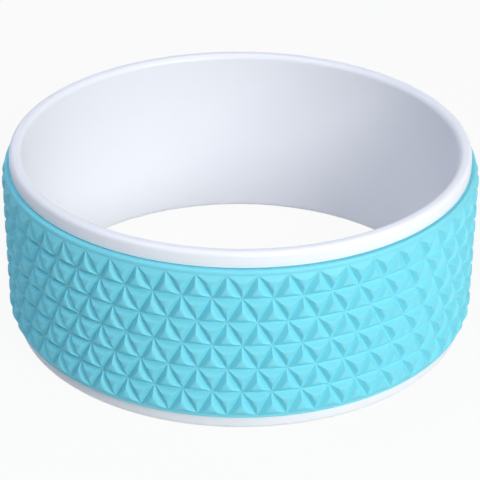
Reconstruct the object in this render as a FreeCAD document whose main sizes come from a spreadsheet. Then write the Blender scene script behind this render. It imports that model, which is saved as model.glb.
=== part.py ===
import FreeCAD, Part
import math
import os

import Sketcher

# Yoga wheel lying on its side: a smooth rigid hoop, a soft studded cover and the glue film between them.
# Frame: millimetres, +Z along the wheel's axis, origin in the middle of the rim that the wheel lies on.

# Driving dimensions: name, value, meaning.
DRIVING_SIZES = (
    ("hoop_width", 130.0, "hoop from rim to rim, along the axis"),
    ("bore_diameter", 300.0, "clear opening through the hoop"),
    ("hoop_wall", 9.0, "thickness of the hoop"),
    ("inner_round", 4.0, "rounding of both rims towards the bore"),
    ("outer_round", 3.0, "rounding of both rims towards the cover"),
    ("lower_lip", 10.5, "bare hoop below the cover"),
    ("upper_lip", 9.5, "bare hoop above the cover"),
    ("glue_film", 0.3, "thickness of the glue film"),
    ("glue_margin", 2.0, "cover beyond the glue film, at each edge"),
    ("cover_sheet", 2.9, "thickness of the cover at its border"),
    ("cover_edge", 0.8, "bevel of the cover's two outer edges"),
    ("lower_border", 1.8, "smooth border of the cover below the studs"),
    ("upper_border", 4.2, "smooth border of the cover above the studs"),
    ("groove_depth", 1.1, "grooves between the studs, below the border"),
    ("stud_height", 2.5, "blunt tops of the studs above the border"),
    ("stud_top", 8.0, "side of a stud's blunt top"),
    ("stud_pitch", 19.23, "about the length of a stud's side round the wheel"),
    ("stud_row", 17.3, "about the height of a row of studs"),
)

# A rim's two roundings together stay within the wall.
INNER_ROUND_LIMIT = 0.5
OUTER_ROUND_LIMIT = 0.4

# Grooves leave part of the sheet whole.
GROOVE_LIMIT = 0.7

FULL_TURN = 2 * math.pi
FRONT = -math.pi / 2

# Expressions that several pieces share.
OUTER_RADIUS = "(sizes.bore_diameter / 2 + sizes.hoop_wall)"
FILM_RADIUS = f"({OUTER_RADIUS} + sizes.glue_film)"
COVER_WIDTH = "(sizes.hoop_width - sizes.lower_lip - sizes.upper_lip)"


def make_sheet(doc):
    """Keep the driving dimensions in a sheet, one row each."""
    sheet = doc.addObject("Spreadsheet::Sheet", "sizes")
    for row, (name, value, meaning) in enumerate(DRIVING_SIZES, start=1):
        sheet.set(f"A{row}", meaning)
        sheet.set(f"B{row}", str(value))
        sheet.setAlias(f"B{row}", name)
    doc.recompute()
    return sheet


# Hoop

def origin_plane(body, role):
    """Find one of a body's own origin planes."""
    return next(feature for feature in body.Origin.OriginFeatures if feature.Role == role)


def wall_sketch(body):
    """Draw the hoop's wall as a rectangle beside the axis, standing on the ground."""
    sketch = body.newObject("Sketcher::SketchObject", "wall_section")
    sketch.AttachmentSupport = [(origin_plane(body, "XZ_Plane"), "")]
    sketch.MapMode = "FlatFace"
    corners = [FreeCAD.Vector(x, y, 0) for x, y in ((1, 0), (2, 0), (2, 1), (1, 1))]
    bottom, outside, top, inside = range(4)
    for side in range(4):
        line = Part.LineSegment(corners[side], corners[(side + 1) % 4])
        sketch.addGeometry(line, False)
    for side in range(4):
        sketch.addConstraint(Sketcher.Constraint("Coincident", side, 2, (side + 1) % 4, 1))
    sketch.addConstraint(Sketcher.Constraint("Horizontal", bottom))
    sketch.addConstraint(Sketcher.Constraint("Horizontal", top))
    sketch.addConstraint(Sketcher.Constraint("Vertical", outside))
    sketch.addConstraint(Sketcher.Constraint("Vertical", inside))
    sketch.addConstraint(Sketcher.Constraint("PointOnObject", bottom, 1, -1))
    bound_sizes = (
        ("DistanceX", (-1, 1, bottom, 1), "bore_radius", "sizes.bore_diameter / 2"),
        ("DistanceX", (bottom, 1, bottom, 2), "wall", "sizes.hoop_wall"),
        ("DistanceY", (outside, 1, outside, 2), "width", "sizes.hoop_width"),
    )
    for kind, points, name, formula in bound_sizes:
        index = sketch.addConstraint(Sketcher.Constraint(kind, *points, 1.0))
        sketch.renameConstraint(index, name)
        sketch.setExpression(f"Constraints.{name}", formula)
    return sketch


def rim_edges(feature, radius):
    """Name the round edges of a feature that have the given radius."""
    names = []
    for number, edge in enumerate(feature.Shape.Edges, start=1):
        if isinstance(edge.Curve, Part.Circle) and math.isclose(edge.Curve.Radius, radius, abs_tol=1e-6):
            names.append(f"Edge{number}")
    return names


def round_rims(doc, body, base, name, radius, formula):
    """Round both rims of the hoop on one side of its wall."""
    rounding = body.newObject("PartDesign::Fillet", name)
    rounding.Base = (base, rim_edges(base, radius))
    rounding.setExpression("Radius", formula)
    doc.recompute()
    return rounding


def make_hoop(doc, sheet):
    """Revolve the wall into the hoop and round its rims."""
    body = doc.addObject("PartDesign::Body", "hoop")
    body.Label = "hoop"
    sketch = wall_sketch(body)
    ring = body.newObject("PartDesign::Revolution", "ring")
    ring.Profile = sketch
    ring.ReferenceAxis = (sketch, ["V_Axis"])
    ring.Angle = 360
    doc.recompute()
    bore_radius = sheet.get("bore_diameter") / 2
    outer_radius = bore_radius + sheet.get("hoop_wall")
    inner = round_rims(doc, body, ring, "bore_rounding", bore_radius,
                       f"min(sizes.inner_round; sizes.hoop_wall * {INNER_ROUND_LIMIT})")
    round_rims(doc, body, inner, "lip_rounding", outer_radius,
               f"min(sizes.outer_round; sizes.hoop_wall * {OUTER_ROUND_LIMIT})")
    return body


# Glue film

def make_cylinder(doc, name, radius, height, foot):
    """Make an upright cylinder whose sizes and foot follow the sheet."""
    cylinder = doc.addObject("Part::Cylinder", name)
    cylinder.setExpression("Radius", radius)
    cylinder.setExpression("Height", height)
    cylinder.setExpression("Placement.Base.z", foot)
    return cylinder


def make_cut(doc, name, base, tool):
    """Take one shape out of another, as a sub-part of its own."""
    cut = doc.addObject("Part::Cut", name)
    cut.Label = name
    cut.Base = base
    cut.Tool = tool
    return cut


def make_adhesive(doc):
    """Wrap the glue film round the hoop, a little narrower than the cover."""
    height = f"{COVER_WIDTH} - 2 * sizes.glue_margin"
    foot = "sizes.lower_lip + sizes.glue_margin"
    outside = make_cylinder(doc, "film_outside", FILM_RADIUS, height, foot)
    inside = make_cylinder(doc, "film_inside", OUTER_RADIUS, height, foot)
    return make_cut(doc, "adhesive", outside, inside)


# Cover

class StudLayout:
    """Where the studs' corners, peaks and borders lie on the cover."""

    def __init__(self, sheet):
        film_radius = sheet.get("bore_diameter") / 2 + sheet.get("hoop_wall") + sheet.get("glue_film")
        self.base_radius = film_radius + sheet.get("cover_sheet")
        self.groove_radius = self.base_radius - min(sheet.get("groove_depth"),
                                                    GROOVE_LIMIT * sheet.get("cover_sheet"))
        self.peak_radius = self.base_radius + sheet.get("stud_height")
        self.edge = sheet.get("cover_edge")
        self.foot = sheet.get("lower_lip")
        self.head = sheet.get("hoop_width") - sheet.get("upper_lip")
        self.low_row = self.foot + sheet.get("lower_border")
        studded = self.head - sheet.get("upper_border") - self.low_row
        self.rows = max(1, round(studded / sheet.get("stud_row")))
        self.row_height = studded / self.rows
        self.count = max(3, round(FULL_TURN * self.base_radius / sheet.get("stud_pitch")))
        self.top_share = sheet.get("stud_top") * self.count / (FULL_TURN * self.base_radius)

    def point(self, half_steps, height, radius):
        """Place a point by half pitches round the wheel, height and radius."""
        angle = FRONT + FULL_TURN * half_steps / (2 * self.count)
        return FreeCAD.Vector(radius * math.cos(angle), radius * math.sin(angle), height)

    def corner(self, row, half_steps):
        """Place a corner of the studs on a line, counted from the lowest: on a border or in a groove."""
        radius = self.base_radius if row in (0, self.rows) else self.groove_radius
        return self.point(half_steps, self.low_row + row * self.row_height, radius)

    def ring(self, row, height, radius):
        """Place one point over each corner of a row, as a closed ring."""
        return [self.point(row % 2 + 2 * step, height, radius) for step in range(self.count)]


def flat_face(points):
    """Fill a closed outline of points."""
    return Part.Face(Part.makePolygon([*points, points[0]]))


def band_faces(low, high):
    """Join two rings of points with flat faces."""
    pairs = zip(low, low[1:] + low[:1], high[1:] + high[:1], high)
    return [flat_face(points) for points in pairs]


def stud_faces(layout, corners, centre_step):
    """Raise one blunt three-sided stud over its three corners."""
    centre = (corners[0] + corners[1] + corners[2]) / 3
    peak = layout.point(centre_step, centre.z, layout.peak_radius)
    sharp_tip = centre + (peak - centre) / (1 - layout.top_share)
    top = [sharp_tip + (corner - sharp_tip) * layout.top_share for corner in corners]
    return [flat_face(top), *band_faces(corners, top)]


def row_faces(layout, row):
    """Fill one row with studs that point up and down by turns."""
    faces = []
    for step in range(layout.count):
        start = row % 2 + 2 * step
        upward = [layout.corner(row, start), layout.corner(row, start + 2), layout.corner(row + 1, start + 1)]
        faces += stud_faces(layout, upward, start + 1)
        downward = [layout.corner(row + 1, start + 1), layout.corner(row, start + 2),
                    layout.corner(row + 1, start + 3)]
        faces += stud_faces(layout, downward, start + 2)
    return faces


def studded_block(layout):
    """Close the studs, borders and ends into one solid block."""
    inset = layout.base_radius - layout.edge
    high_row = layout.low_row + layout.rows * layout.row_height
    outline = [
        layout.ring(0, layout.foot, inset),
        layout.ring(0, layout.foot + layout.edge, layout.base_radius),
        layout.ring(0, layout.low_row, layout.base_radius),
        layout.ring(layout.rows, high_row, layout.base_radius),
        layout.ring(layout.rows, layout.head - layout.edge, layout.base_radius),
        layout.ring(layout.rows, layout.head, inset),
    ]
    faces = [flat_face(outline[0]), flat_face(outline[-1])]
    for low, high in ((0, 1), (1, 2), (3, 4), (4, 5)):
        faces += band_faces(outline[low], outline[high])
    for row in range(layout.rows):
        faces += row_faces(layout, row)
    shell = Part.makeShell(faces)
    shell.sewShape()
    block = Part.makeSolid(shell)
    if block.Volume < 0:
        block.reverse()
    return block


def make_cover(doc, sheet):
    """Cut the room for the hoop and the glue film out of the studded block."""
    block = doc.addObject("Part::Feature", "studded_block")
    block.Shape = studded_block(StudLayout(sheet))
    block.Placement = FreeCAD.Placement()
    core = make_cylinder(doc, "cover_bore", FILM_RADIUS, "sizes.hoop_width", "0")
    return make_cut(doc, "cover", block, core)


# Checks and files

def check(doc, sub_parts):
    """Stop if anything failed to build."""
    for item in doc.Objects:
        if "Invalid" in item.State or "Error" in item.State:
            raise RuntimeError(f"{item.Name} failed: {item.State}")
    for item in sub_parts:
        if item.Shape.isNull() or not item.Shape.isValid() or len(item.Shape.Solids) != 1:
            raise RuntimeError(f"{item.Label} is not one valid solid")


def write(sub_parts):
    """Write each sub-part to its own file."""
    os.makedirs("parts", exist_ok=True)
    for item in sub_parts:
        item.Shape.exportStep(f"parts/{item.Label}.step")
        box = item.Shape.optimalBoundingBox()
        print(f"{item.Label}: {box.XLength:.2f} x {box.YLength:.2f} x {box.ZLength:.2f} mm,"
              f" {item.Shape.Volume / 1000:.1f} cm3, {len(item.Shape.Faces)} faces")


def main():
    """Build the wheel and write its pieces."""
    doc = FreeCAD.newDocument("yoga_wheel")
    sheet = make_sheet(doc)
    sub_parts = [make_hoop(doc, sheet), make_adhesive(doc), make_cover(doc, sheet)]
    doc.recompute()
    check(doc, sub_parts)
    write(sub_parts)


main()
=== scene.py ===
"""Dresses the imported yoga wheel: a white hoop with a studded turquoise cover.

The wheel lies on its side, as in the frame: +Z is its axis, the floor is at zero,
and a corner of the stud pattern points along -Y. All sizes are in metres.
"""

import logging
import math
from collections.abc import Callable, Mapping
from dataclasses import dataclass
from enum import Enum
from typing import TypeAlias

import bmesh
import bpy
from mathutils import Matrix, Vector

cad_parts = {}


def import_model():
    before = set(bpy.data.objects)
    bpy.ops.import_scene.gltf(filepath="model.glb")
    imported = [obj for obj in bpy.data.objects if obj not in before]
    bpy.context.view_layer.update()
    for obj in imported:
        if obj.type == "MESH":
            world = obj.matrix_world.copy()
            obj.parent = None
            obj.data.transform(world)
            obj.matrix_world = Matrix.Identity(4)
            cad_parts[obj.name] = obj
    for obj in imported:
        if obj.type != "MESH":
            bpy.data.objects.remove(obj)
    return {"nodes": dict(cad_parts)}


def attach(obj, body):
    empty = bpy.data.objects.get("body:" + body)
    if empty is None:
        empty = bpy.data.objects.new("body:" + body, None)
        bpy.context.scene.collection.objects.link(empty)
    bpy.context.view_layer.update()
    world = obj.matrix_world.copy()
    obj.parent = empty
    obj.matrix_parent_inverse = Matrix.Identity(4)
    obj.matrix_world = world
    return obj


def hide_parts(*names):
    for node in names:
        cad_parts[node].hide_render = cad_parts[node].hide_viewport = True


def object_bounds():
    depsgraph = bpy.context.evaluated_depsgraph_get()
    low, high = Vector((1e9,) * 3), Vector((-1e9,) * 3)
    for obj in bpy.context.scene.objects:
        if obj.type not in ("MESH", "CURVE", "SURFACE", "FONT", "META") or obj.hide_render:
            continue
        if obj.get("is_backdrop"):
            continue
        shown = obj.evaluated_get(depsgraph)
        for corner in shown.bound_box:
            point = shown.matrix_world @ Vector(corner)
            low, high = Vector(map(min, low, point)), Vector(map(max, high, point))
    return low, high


LOG = logging.getLogger("yoga_wheel")
ROOT_BODY = "root"
IMAGE_SIDE = 480
SENSOR_WIDTH = 36.0
MERGE_DISTANCE = 1e-5
FULL_TURN = 2 * math.pi
ORIGIN = (0.0, 0.0, 0.0)
WHEEL_AXIS = (0.0, 0.0, 1.0)
NOISE_MIDDLE = 0.5

# An even triangle whose corners are at 1 from its middle.
TRIANGLE_SIDE = math.sqrt(3.0)
TRIANGLE_HEIGHT = 1.5

# Shares of a triangle's reach, between which its corners and its sides' middles lie.
CORNER_BAND = (0.8, 1.1)
MIDDLE_BAND = (0.45, 0.55)

Colour: TypeAlias = tuple[float, float, float]
Section: TypeAlias = list[tuple[float, float]]
Value: TypeAlias = "Signal | float | tuple[float, ...]"

WHITE: Colour = (1.0, 1.0, 1.0)


class Edge(Enum):
    """One of the cover's two edges, and the way from the studs to it."""

    UPPER = 1
    LOWER = -1


def opaque(colour: Colour) -> tuple[float, float, float, float]:
    """A colour as a shader socket takes it."""
    return (*colour, 1.0)


def direction(azimuth: float, elevation: float) -> Vector:
    """The way from the wheel to something that looks at it.

    Args:
        azimuth: the turn from -Y towards +X.
        elevation: the angle above the floor.

    Returns:
        A vector of length 1.
    """
    level = math.cos(elevation)
    return Vector(
        (
            level * math.sin(azimuth),
            -level * math.cos(azimuth),
            math.sin(elevation),
        )
    )


class Signal:
    """A shader value, so that node maths is written as an expression."""

    def __init__(self, bench: "ShaderBench", socket: bpy.types.NodeSocket) -> None:
        """Keeps the socket and the bench that it is on."""
        self.bench = bench
        self.socket = socket

    def _maths(self, operation: str, first: Value, second: Value) -> "Signal":
        """Adds a Math node for two values.

        Args:
            operation: the Math node's operation.
            first: its first value.
            second: its second value.

        Returns:
            The node's result.
        """
        return self.bench.node(
            "ShaderNodeMath", {"operation": operation}, {0: first, 1: second}
        )

    def __add__(self, other: Value) -> "Signal":
        """This value plus another."""
        return self._maths("ADD", self, other)

    def __radd__(self, other: Value) -> "Signal":
        """Another value plus this one."""
        return self._maths("ADD", other, self)

    def __sub__(self, other: Value) -> "Signal":
        """This value less another."""
        return self._maths("SUBTRACT", self, other)

    def __rsub__(self, other: Value) -> "Signal":
        """Another value less this one."""
        return self._maths("SUBTRACT", other, self)

    def __mul__(self, other: Value) -> "Signal":
        """This value times another."""
        return self._maths("MULTIPLY", self, other)

    def __rmul__(self, other: Value) -> "Signal":
        """Another value times this one."""
        return self._maths("MULTIPLY", other, self)


class ShaderBench:
    """The node tree of one material or world, and the way that nodes are added to it."""

    def __init__(self, owner: bpy.types.Material | bpy.types.World) -> None:
        """Empties the owner's node tree.

        Args:
            owner: the material or world that the nodes are for.
        """
        owner.use_nodes = True
        self.tree = owner.node_tree
        self.tree.nodes.clear()

    def node(
        self,
        kind: str,
        settings: Mapping[str, object] | None = None,
        inputs: Mapping[str | int, Value] | None = None,
        output: str | int = 0,
    ) -> Signal | None:
        """Adds a node, sets it up and links it.

        Args:
            kind: the node's type.
            settings: its own properties, which are set first.
            inputs: values or links for its sockets, by name or number.
            output: the socket that is wanted from it.

        Returns:
            The wanted output, or none for a node that has no outputs.
        """
        made = self.tree.nodes.new(kind)
        for name, setting in (settings or {}).items():
            setattr(made, name, setting)
        for name, value in (inputs or {}).items():
            socket = made.inputs[name]
            if isinstance(value, Signal):
                self.tree.links.new(value.socket, socket)
            else:
                socket.default_value = value
        return Signal(self, made.outputs[output]) if made.outputs else None

    def noise(self, place: Signal, grain: float, detail: float = 2.0) -> Signal:
        """Adds even noise.

        Args:
            place: the coordinates that it reads.
            grain: the size of its lumps, in metres.
            detail: how many finer layers it has.

        Returns:
            A value about one half.
        """
        return self.node(
            "ShaderNodeTexNoise",
            inputs={"Vector": place, "Scale": 1.0 / grain, "Detail": detail},
            output="Fac",
        )

    def place(self) -> Signal:
        """The piece's own coordinates."""
        return self.node("ShaderNodeTexCoord", output="Object")

    def surface(self, shader: Signal, kind: str = "ShaderNodeOutputMaterial") -> None:
        """Puts a shader on the tree's surface output."""
        self.node(kind, inputs={"Surface": shader})


@dataclass(frozen=True)
class Finish:
    """A surface finish: a colour that drifts a little, a fine grain and a sheen."""

    name: str
    colour: Colour
    drift_colour: Colour
    drift: float
    roughness: float
    roughness_swing: float
    grain: float
    grain_depth: float
    specular: float
    drift_detail: float = 3.0
    grain_strength: float = 0.6

    def material(self) -> bpy.types.Material:
        """Makes the finish as a node material.

        Returns:
            The new material.
        """
        made = bpy.data.materials.new(self.name)
        bench = ShaderBench(made)
        place = bench.place()
        drift = bench.noise(place, self.drift, self.drift_detail)
        fine = bench.noise(place, self.grain)
        tone = bench.node(
            "ShaderNodeMix",
            {"data_type": "RGBA"},
            {"Factor": drift, "A": opaque(self.colour), "B": opaque(self.drift_colour)},
            output="Result",
        )
        rough = self.roughness + (drift - NOISE_MIDDLE) * self.roughness_swing
        bump = bench.node(
            "ShaderNodeBump",
            inputs={
                "Height": fine,
                "Strength": self.grain_strength,
                "Distance": self.grain_depth,
            },
        )
        shader = bench.node(
            "ShaderNodeBsdfPrincipled",
            inputs={
                "Base Color": tone,
                "Roughness": rough,
                "Specular IOR Level": self.specular,
                "Normal": bump,
            },
        )
        bench.surface(shader)
        return made


HOOP_PLASTIC = Finish(
    name="satin_white_plastic",
    colour=(0.905, 0.92, 0.95),
    drift_colour=(0.89, 0.905, 0.94),
    drift=0.06,
    roughness=0.38,
    roughness_swing=0.12,
    grain=0.0006,
    grain_depth=0.00001,
    specular=0.5,
)
COVER_RUBBER = Finish(
    name="matt_turquoise_rubber",
    colour=(0.22, 0.735, 0.85),
    drift_colour=(0.20, 0.71, 0.825),
    drift=0.03,
    roughness=0.55,
    roughness_swing=0.15,
    grain=0.0004,
    grain_depth=0.00003,
    specular=0.3,
)
GLUE_FILM = Finish(
    name="tacky_glue_film",
    colour=(0.80, 0.78, 0.70),
    drift_colour=(0.74, 0.71, 0.62),
    drift=0.01,
    roughness=0.45,
    roughness_swing=0.2,
    grain=0.001,
    grain_depth=0.00005,
    specular=0.5,
)


class Workpiece:
    """A mesh on the bench, shaped in edit mode by Blender's own operators."""

    def __init__(self, name: str) -> None:
        """Takes up the primitive that was just added, in edit mode.

        Args:
            name: the name of the piece.
        """
        self.thing = bpy.context.object
        self.thing.name = name
        self.thing.data.name = name
        bpy.ops.object.mode_set(mode="EDIT")
        bpy.context.tool_settings.mesh_select_mode = (True, False, False)
        bpy.ops.mesh.select_all(action="SELECT")

    def pick(self, wanted: Callable[[Vector], bool], border: bool = False) -> None:
        """Selects corners by their place.

        Args:
            wanted: tells of a corner's place whether it is picked.
            border: whether only corners on an open edge count.
        """
        bpy.ops.mesh.select_all(action="DESELECT")
        shape = bmesh.from_edit_mesh(self.thing.data)
        for corner in shape.verts:
            corner.select = wanted(corner.co) and (corner.is_boundary or not border)
        shape.select_flush_mode()
        bmesh.update_edit_mesh(self.thing.data)

    @staticmethod
    def move(x: float = 0.0, y: float = 0.0, z: float = 0.0) -> None:
        """Moves what is selected."""
        bpy.ops.transform.translate(value=(x, y, z))

    @staticmethod
    def resize(x: float, y: float, z: float, middle: Vector | None = None) -> None:
        """Resizes what is selected about a point.

        Args:
            x: the factor across.
            y: the factor in depth.
            z: the factor in height.
            middle: the point that stays, or none for the origin.
        """
        bpy.ops.transform.resize(
            value=(x, y, z), center_override=middle or Vector(ORIGIN)
        )

    @staticmethod
    def copy() -> None:
        """Copies what is selected, in place."""
        bpy.ops.mesh.duplicate()

    @staticmethod
    def merge() -> None:
        """Merges corners that lie on each other, all over."""
        bpy.ops.mesh.select_all(action="SELECT")
        bpy.ops.mesh.remove_doubles(threshold=MERGE_DISTANCE)

    def finish(self, crease: float) -> bpy.types.Object:
        """Turns the faces outwards, smooths them and leaves edit mode.

        Args:
            crease: the angle between faces over which an edge stays sharp.

        Returns:
            The finished object.
        """
        bpy.ops.mesh.select_all(action="SELECT")
        bpy.ops.mesh.normals_make_consistent(inside=False)
        bpy.ops.object.mode_set(mode="OBJECT")
        bpy.ops.object.shade_smooth_by_angle(angle=crease)
        return self.thing


def clear_selection() -> None:
    """Deselects every object, and leaves none active."""
    bpy.ops.object.select_all(action="DESELECT")
    bpy.context.view_layer.objects.active = None


def dress(thing: bpy.types.Object, finish: Finish) -> None:
    """Gives an object one finish all over.

    Args:
        thing: the object.
        finish: its finish.
    """
    thing.data.materials.clear()
    thing.data.materials.append(finish.material())


@dataclass
class Hoop:
    """The rigid hoop: a wall with rounded rims and a fine gap under its upper lip."""

    node: str = "hoop"
    slot: str = "hoop_plastic"
    inner_radius: float = 0.150
    wall: float = 0.009
    width: float = 0.130
    inner_round: float = 0.004
    outer_round: float = 0.003
    round_steps: int = 7
    turn_steps: int = 216
    gap_top: float = 0.1199
    gap_bottom: float = 0.1175
    gap_depth: float = 0.0025
    crease: float = math.radians(40.0)

    def build(self) -> bpy.types.Object:
        """Spins the wall's rounded section about the axis.

        Returns:
            The hoop.
        """
        clear_selection()
        bpy.ops.mesh.primitive_plane_add(size=1.0)
        piece = Workpiece("hoop_wall")
        bpy.ops.transform.rotate(
            value=math.pi / 2, orient_axis="X", center_override=ORIGIN
        )
        middle = self.inner_radius + self.wall / 2
        piece.resize(self.wall, 1.0, self.width)
        piece.move(middle, 0.0, self.width / 2)
        for size, inner in ((self.inner_round, True), (self.outer_round, False)):
            piece.pick(lambda place, inner=inner: (place.x < middle) == inner)
            bpy.ops.mesh.bevel(
                offset=size,
                offset_type="OFFSET",
                segments=self.round_steps,
                affect="VERTICES",
            )
        bpy.ops.mesh.select_all(action="SELECT")
        bpy.ops.mesh.delete(type="ONLY_FACE")
        self.cut_gap(piece)
        bpy.ops.mesh.select_all(action="SELECT")
        bpy.ops.mesh.spin(
            steps=self.turn_steps, angle=FULL_TURN, center=ORIGIN, axis=WHEEL_AXIS
        )
        piece.merge()
        return piece.finish(self.crease)

    def cut_gap(self, piece: Workpiece) -> None:
        """Cuts the shadow gap under the upper lip into the section's outer side.

        Args:
            piece: the section, a closed line with no face.
        """
        outside = self.inner_radius + self.wall - MERGE_DISTANCE
        low, high = self.outer_round, self.width - self.outer_round
        goals = (
            (self.gap_bottom, 0.0),
            (self.gap_bottom, self.gap_depth),
            (self.gap_top, self.gap_depth),
            (self.gap_top, 0.0),
        )
        piece.pick(lambda place: place.x > outside)
        bpy.ops.mesh.subdivide(number_cuts=len(goals))
        for number, (height, depth) in reversed(list(enumerate(goals, start=1))):
            start = low + (high - low) * number / (len(goals) + 1)
            piece.pick(
                lambda place, start=start: place.x > outside
                and abs(place.z - start) < MERGE_DISTANCE
            )
            piece.move(-depth, 0.0, height - start)

    def install(self) -> bpy.types.Object:
        """Builds and dresses the hoop and puts it in the CAD node's stead.

        Returns:
            The hoop.
        """
        hoop = self.build()
        dress(hoop, HOOP_PLASTIC)
        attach(hoop, ROOT_BODY)
        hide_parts(self.node)
        return hoop


@dataclass(frozen=True)
class StudRing:
    """One level of a stud, from foot to peak.

    The size is a share of the foot's. The pull draws the three corners in, and the
    push moves the middles of the sides out, so that the ring gets rounder.
    """

    size: float
    height: float
    corner_pull: float = 1.0
    side_push: float = 1.0


@dataclass
class StuddedCover:
    """The soft cover: rows of triangular studs between grooves, with plain borders.

    The upper border is a bead, an arc about bead_radius whose top is bead_top below the
    upper edge. A tongue, given by radius and depth below that edge, goes on from the bead
    into the gap under the hoop's lip. The groove's share and the ridge's width are parts
    of the way from a stud's middle to its corner.
    """

    node: str = "cover"
    slot: str = "cover_foam"
    groove_radius: float = 0.1611
    inner_radius: float = 0.1593
    lower_edge: float = 0.0105
    upper_edge: float = 0.1205
    lower_row: float = 0.0123
    pattern_height: float = 0.104
    rows: int = 6
    studs_round: int = 53
    outer_edge_round: float = 0.0007
    inner_edge_round: float = 0.0006
    edge_steps: int = 5
    bead_radius: float = 0.1611
    bead_width: float = 0.00176
    bead_height: float = 0.0021
    bead_top: float = 0.0011
    bead_start: float = math.radians(-20.0)
    bead_end: float = math.radians(125.0)
    bead_steps: int = 10
    tongue: tuple[tuple[float, float], ...] = (
        (0.15920, 0.00155),
        (0.15665, 0.00110),
        (0.15665, 0.00210),
        (0.15930, 0.00270),
    )
    groove_share: float = 0.055
    ridge_width: float = 0.12
    ridge_pull: float = 0.955
    rings: tuple[StudRing, ...] = (
        StudRing(0.465, 0.00308, 0.97),
        StudRing(0.360, 0.00346, 0.88, 1.04),
    )
    peak: float = 0.0036
    lower_lift: float = 0.0011
    upper_lift: float = 0.0016
    border_reach: float = 0.0026
    crease: float = math.radians(34.0)

    @property
    def pitch(self) -> float:
        """The length of a stud's foot round the wheel."""
        return FULL_TURN * self.groove_radius / self.studs_round

    @property
    def row_height(self) -> float:
        """The height of one row of studs."""
        return self.pattern_height / self.rows

    @property
    def top_row(self) -> float:
        """The height at which the last row of studs ends."""
        return self.lower_row + self.rows * self.row_height

    def border_radius(self, edge: Edge) -> float:
        """The radius at which the plain border beside an edge starts."""
        lift = self.upper_lift if edge is Edge.UPPER else self.lower_lift
        return self.groove_radius + lift

    def stud(self) -> Workpiece:
        """Shapes one stud that points up, flat, with its middle at the origin.

        The rings are set on an even triangle, which then gets the stud's own size.

        Returns:
            The stud, all selected, facing -Y.
        """
        clear_selection()
        bpy.ops.mesh.primitive_circle_add(
            vertices=3, radius=1.0, fill_type="NOTHING", rotation=(math.pi / 2, 0.0, 0.0)
        )
        bpy.ops.object.transform_apply(location=False, rotation=True, scale=False)
        piece = Workpiece("studded_cover")
        bpy.ops.mesh.subdivide(number_cuts=1)
        bpy.ops.mesh.edge_face_add()
        piece.pick(lambda place: place.xz.length > CORNER_BAND[0])
        bpy.ops.mesh.bevel(
            offset=self.ridge_width,
            offset_type="OFFSET",
            segments=2,
            profile=1.0,
            affect="VERTICES",
        )
        bpy.ops.mesh.select_all(action="SELECT")
        bpy.ops.mesh.inset(thickness=self.groove_share / 2, depth=0.0)
        size, height = 1.0 - self.groove_share, 0.0
        piece.pick(lambda place: abs(place.xz.length - size) < MERGE_DISTANCE)
        piece.resize(self.ridge_pull, 1.0, self.ridge_pull)
        # Only the stud's own face has more than the four sides of the groove's faces.
        bpy.ops.mesh.select_face_by_sides(number=4, type="GREATER", extend=False)
        for ring in self.rings:
            bpy.ops.mesh.extrude_region_move(
                TRANSFORM_OT_translate={"value": (0.0, height - ring.height, 0.0)}
            )
            piece.resize(ring.size / size, 1.0, ring.size / size)
            size, height = ring.size, ring.height
        bpy.ops.mesh.poke(offset=0.0)
        for ring in self.rings:
            self.round_ring(piece, ring)
        piece.pick(lambda place: place.xz.length < MERGE_DISTANCE)
        piece.move(0.0, height - self.peak, 0.0)
        bpy.ops.mesh.select_all(action="SELECT")
        piece.resize(self.pitch / TRIANGLE_SIDE, 1.0, self.row_height / TRIANGLE_HEIGHT)
        return piece

    @staticmethod
    def round_ring(piece: Workpiece, ring: StudRing) -> None:
        """Pulls a ring's three corners in and pushes the middles of its sides out.

        Args:
            piece: the stud, still an even triangle with its corners at 1.
            ring: the ring, still a plain triangle.
        """

        def on_ring(place: Vector, band: tuple[float, float]) -> bool:
            """Whether a point is on the ring, between two shares of its reach."""
            level = abs(place.y + ring.height) < MERGE_DISTANCE
            return level and band[0] < place.xz.length / ring.size < band[1]

        piece.pick(lambda place: on_ring(place, CORNER_BAND))
        piece.resize(ring.corner_pull, 1.0, ring.corner_pull)
        piece.pick(lambda place: on_ring(place, MIDDLE_BAND))
        piece.resize(ring.side_push, 1.0, ring.side_push)

    def column(self) -> Workpiece:
        """Sets out one column of studs, a pair to each row, flat.

        Returns:
            The column, with the wheel's front at its left foot.
        """
        piece = self.stud()
        piece.copy()
        bpy.ops.transform.rotate(value=math.pi, orient_axis="Y", center_override=ORIGIN)
        piece.move(self.pitch / 2, 0.0, self.row_height / 3)
        bpy.ops.mesh.select_all(action="SELECT")
        piece.move(self.pitch / 2, 0.0, self.lower_row + self.row_height / 3)
        for row in range(1, self.rows):
            piece.copy()
            shift = self.pitch / 2 if row % 2 else -self.pitch / 2
            piece.move(shift, 0.0, self.row_height)
        piece.merge()
        self.lift_borders(piece)
        return piece

    def lift_borders(self, piece: Workpiece) -> None:
        """Lifts the first and last line of the studs from groove to border level.

        Args:
            piece: the flat column.
        """
        crown = Vector((0.0, -self.peak, 0.0))
        piece.pick(lambda place: place.z < self.lower_row + self.border_reach)
        piece.resize(1.0, 1.0 - self.lower_lift / self.peak, 1.0, crown)
        piece.pick(lambda place: place.z > self.top_row - self.border_reach)
        piece.resize(1.0, 1.0 - self.upper_lift / self.peak, 1.0, crown)

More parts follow.
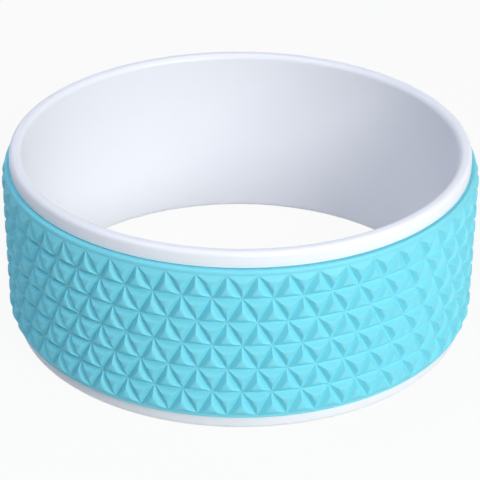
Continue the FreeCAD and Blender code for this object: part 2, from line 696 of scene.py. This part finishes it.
    def wrap(self, piece: Workpiece) -> None:
        """Bends the flat column round the sheet and turns copies of it round the wheel.

        Args:
            piece: the flat column.
        """
        bpy.ops.object.mode_set(mode="OBJECT")
        across = [corner.co.x for corner in piece.thing.data.vertices]
        bend = piece.thing.modifiers.new("bend", "SIMPLE_DEFORM")
        bend.deform_method = "BEND"
        bend.deform_axis = "Z"
        bend.angle = (max(across) - min(across)) / self.groove_radius
        bpy.ops.object.modifier_apply(modifier=bend.name)
        bpy.ops.object.mode_set(mode="EDIT")
        bpy.ops.mesh.select_all(action="SELECT")
        piece.move(0.0, -self.groove_radius, 0.0)
        bpy.ops.mesh.spin(
            steps=self.studs_round - 1,
            dupli=True,
            angle=FULL_TURN * (self.studs_round - 1) / self.studs_round,
            center=ORIGIN,
            axis=WHEEL_AXIS,
        )
        piece.merge()

    def border(self, piece: Workpiece, edge: Edge) -> None:
        """Draws the plain border out of the last row and round its edge to the inside.

        Args:
            piece: the ring of studs.
            edge: the border's edge.
        """
        if edge is Edge.UPPER:
            start, end = self.top_row, self.upper_edge
            section = self.bead_section()
        else:
            start, end = self.lower_row, self.lower_edge
            section = self.edge_section()
        piece.pick(lambda place: abs(place.z - start) < MERGE_DISTANCE, border=True)
        radius, height = self.border_radius(edge), start
        for new_radius, depth in section:
            new_height = end - edge.value * depth
            self.draw(piece, new_height - height, new_radius / radius)
            radius, height = new_radius, new_height

    def bead_section(self) -> Section:
        """Rounds the upper border to a bead, with a tongue under the hoop's lip.

        Returns:
            The radius and the depth below the upper edge of each point.
        """
        sweep = self.bead_end - self.bead_start
        turns = [
            self.bead_start + sweep * step / self.bead_steps
            for step in range(self.bead_steps + 1)
        ]
        bead = [
            (
                self.bead_radius + self.bead_width * math.cos(turn),
                self.bead_top + self.bead_height * (1 - math.sin(turn)),
            )
            for turn in turns
        ]
        return bead + list(self.tongue)

    def edge_section(self) -> Section:
        """Rounds the lower edge, from the border over the end to the inside.

        Returns:
            The radius and the depth inside the lower edge of each point.
        """
        quarter = [
            math.pi / 2 * step / self.edge_steps for step in range(self.edge_steps + 1)
        ]
        outer, inner = self.outer_edge_round, self.inner_edge_round
        outside = self.border_radius(Edge.LOWER)
        section = [
            (outside - outer * (1 - math.cos(turn)), outer * (1 - math.sin(turn)))
            for turn in quarter
        ]
        section += [
            (self.inner_radius + inner * (1 - math.sin(turn)), inner * (1 - math.cos(turn)))
            for turn in quarter
        ]
        return section

    @staticmethod
    def draw(piece: Workpiece, rise: float, factor: float) -> None:
        """Extrudes the selected edges along the axis and resizes them about it.

        Args:
            piece: the piece in hand.
            rise: how far they go along the axis.
            factor: the change of their radius.
        """
        bpy.ops.mesh.extrude_edges_move(
            TRANSFORM_OT_translate={"value": (0.0, 0.0, rise)}
        )
        piece.resize(factor, factor, 1.0)

    def build(self) -> bpy.types.Object:
        """Makes the whole cover.

        Returns:
            The cover, a closed shell.
        """
        piece = self.column()
        self.wrap(piece)
        self.border(piece, Edge.LOWER)
        self.border(piece, Edge.UPPER)
        inside_top = self.upper_edge - self.tongue[-1][1]
        inside_bottom = self.lower_edge + self.inner_edge_round
        self.draw(piece, inside_bottom - inside_top, 1.0)
        piece.merge()
        cover = piece.finish(self.crease)
        even = cover.modifiers.new("even_facets", "WEIGHTED_NORMAL")
        even.keep_sharp = True
        bpy.ops.object.modifier_apply(modifier=even.name)
        return cover

    def install(self) -> bpy.types.Object:
        """Builds and dresses the cover and puts it in the CAD node's stead.

        Returns:
            The cover.
        """
        cover = self.build()
        dress(cover, COVER_RUBBER)
        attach(cover, ROOT_BODY)
        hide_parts(self.node)
        return cover


@dataclass
class GlueLayer:
    """The film of glue between the hoop and the cover, which the CAD shapes."""

    node: str = "adhesive"

    def install(self, nodes: Mapping[str, bpy.types.Object]) -> bpy.types.Object:
        """Dresses the film's CAD node.

        Args:
            nodes: the frame's nodes by name.

        Returns:
            The film.
        """
        film = nodes[self.node]
        dress(film, GLUE_FILM)
        return film


@dataclass
class PhotoCamera:
    """A camera at the viewing angle of the photograph."""

    azimuth: float = math.radians(2.82)
    elevation: float = math.radians(28.937)
    distance: float = 1.2672
    target_height: float = 0.05167
    roll: float = math.radians(0.287)
    focal_pixels: float = 1782.31
    nearest: float = 0.05
    furthest: float = 50.0

    def install(self) -> bpy.types.Object:
        """Makes the camera and sets it as the scene's own.

        Returns:
            The camera.
        """
        data = bpy.data.cameras.new("photo_camera")
        data.sensor_width = SENSOR_WIDTH
        data.lens = self.focal_pixels * SENSOR_WIDTH / IMAGE_SIDE
        data.clip_start, data.clip_end = self.nearest, self.furthest
        camera = bpy.data.objects.new("photo_camera", data)
        bpy.context.scene.collection.objects.link(camera)
        back = direction(self.azimuth, self.elevation)
        aim = back.to_track_quat("Z", "Y").to_matrix()
        turn = aim @ Matrix.Rotation(self.roll, 3, "Z")
        stand = Vector((0.0, 0.0, self.target_height)) + back * self.distance
        camera.matrix_world = Matrix.Translation(stand) @ turn.to_4x4()
        bpy.context.scene.camera = camera
        return camera


@dataclass(frozen=True)
class Lamp:
    """A soft round panel that faces the wheel, with its angles in degrees."""

    name: str
    azimuth: float
    elevation: float
    width: float
    power: float
    colour: Colour
    distance: float = 2.5

    def install(self, target: Vector) -> bpy.types.Object:
        """Hangs the panel.

        Args:
            target: the point that it faces.

        Returns:
            The lamp.
        """
        data = bpy.data.lights.new(self.name, "AREA")
        data.shape = "DISK"
        data.size = self.width
        data.energy = self.power
        data.color = self.colour
        lamp = bpy.data.objects.new(self.name, data)
        bpy.context.scene.collection.objects.link(lamp)
        back = direction(math.radians(self.azimuth), math.radians(self.elevation))
        lamp.location = target + back * self.distance
        lamp.rotation_euler = back.to_track_quat("Z", "Y").to_euler()
        return lamp


@dataclass
class Studio:
    """A pale floor, soft light and white surroundings.

    The glow is the share of plain white in the floor as it is seen. The rest is the
    floor's own colour, which shows the wheel's shadow.
    """

    floor_radius: float = 6.0
    floor_corners: int = 64
    floor_drop: float = 0.0003
    floor_colour: Colour = (0.7, 0.7, 0.7)
    floor_glow: float = 0.92
    lamps: tuple[Lamp, ...] = (
        Lamp("key_panel", 36.5, 27.0, 0.90, 30.5, (0.99, 1.0, 0.99)),
        Lamp("right_panel", 70.0, 26.0, 0.70, 11.5, (0.99, 1.0, 0.99)),
        Lamp("front_panel", 13.0, 30.0, 1.0, 10.5, (0.99, 1.0, 1.0)),
        Lamp("top_panel", 0.0, 88.0, 2.0, 4.0, (0.95, 1.0, 1.2)),
        Lamp("high_left_panel", -68.0, 60.0, 1.5, 15.0, (0.95, 1.0, 1.22)),
        Lamp("left_back_panel", -117.0, 35.0, 1.5, 3.6, (0.82, 1.0, 1.3)),
        Lamp("high_back_panel", 183.0, 65.0, 1.5, 9.5, (0.95, 1.0, 1.2)),
    )
    fill: Colour = (0.012, 0.013, 0.016)

    def floor(self) -> bpy.types.Object:
        """Lays the floor.

        Returns:
            The floor, marked as stage.
        """
        clear_selection()
        bpy.ops.mesh.primitive_circle_add(
            vertices=self.floor_corners,
            radius=self.floor_radius,
            fill_type="NGON",
            location=(0.0, 0.0, -self.floor_drop),
        )
        floor = bpy.context.object
        floor.name = "pale_floor"
        paint = bpy.data.materials.new("pale_floor_paint")
        bench = ShaderBench(paint)
        seen = self.seen(bench)
        matt = bench.node(
            "ShaderNodeBsdfDiffuse", inputs={"Color": opaque(self.floor_colour)}
        )
        glow = bench.node(
            "ShaderNodeEmission", inputs={"Color": opaque(WHITE), "Strength": 1.0}
        )
        mixed = bench.node(
            "ShaderNodeMixShader", inputs={0: seen * self.floor_glow, 1: matt, 2: glow}
        )
        bench.surface(mixed)
        floor.data.materials.append(paint)
        floor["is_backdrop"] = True
        return floor

    @staticmethod
    def seen(bench: ShaderBench) -> Signal:
        """A factor of 1 for rays that show the surroundings as they are.

        Args:
            bench: the tree that asks.

        Returns:
            The factor.
        """
        camera = bench.node("ShaderNodeLightPath", output="Is Camera Ray")
        glossy = bench.node("ShaderNodeLightPath", output="Is Glossy Ray")
        through = bench.node("ShaderNodeLightPath", output="Is Transmission Ray")
        return camera + glossy + through

    def surroundings(self) -> None:
        """Sets a white world that lights the wheel only softly."""
        world = bpy.data.worlds.new("white_surroundings")
        bench = ShaderBench(world)
        plain = bench.node(
            "ShaderNodeBackground", inputs={"Color": opaque(self.fill), "Strength": 1.0}
        )
        white = bench.node(
            "ShaderNodeBackground", inputs={"Color": opaque(WHITE), "Strength": 1.0}
        )
        mixed = bench.node(
            "ShaderNodeMixShader", inputs={0: self.seen(bench), 1: plain, 2: white}
        )
        bench.surface(mixed, "ShaderNodeOutputWorld")
        bpy.context.scene.world = world

    def install(self, target: Vector) -> None:
        """Sets up the whole studio.

        Args:
            target: the point that the lamps face.
        """
        self.floor()
        self.surroundings()
        for lamp in self.lamps:
            lamp.install(target)
        bpy.context.scene.view_settings.view_transform = "Standard"


def main() -> None:
    """Builds the pieces in order and reports each."""
    logging.basicConfig(level=logging.INFO, format="%(message)s")
    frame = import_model()
    cad_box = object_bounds()
    PhotoCamera().install()
    pieces = [
        GlueLayer().install(frame["nodes"]),
        Hoop().install(),
        StuddedCover().install(),
    ]
    Studio().install((cad_box[0] + cad_box[1]) / 2)
    for piece in pieces:
        LOG.info("%s: %d faces", piece.name, len(piece.data.polygons))


if __name__ == "__main__":
    main()
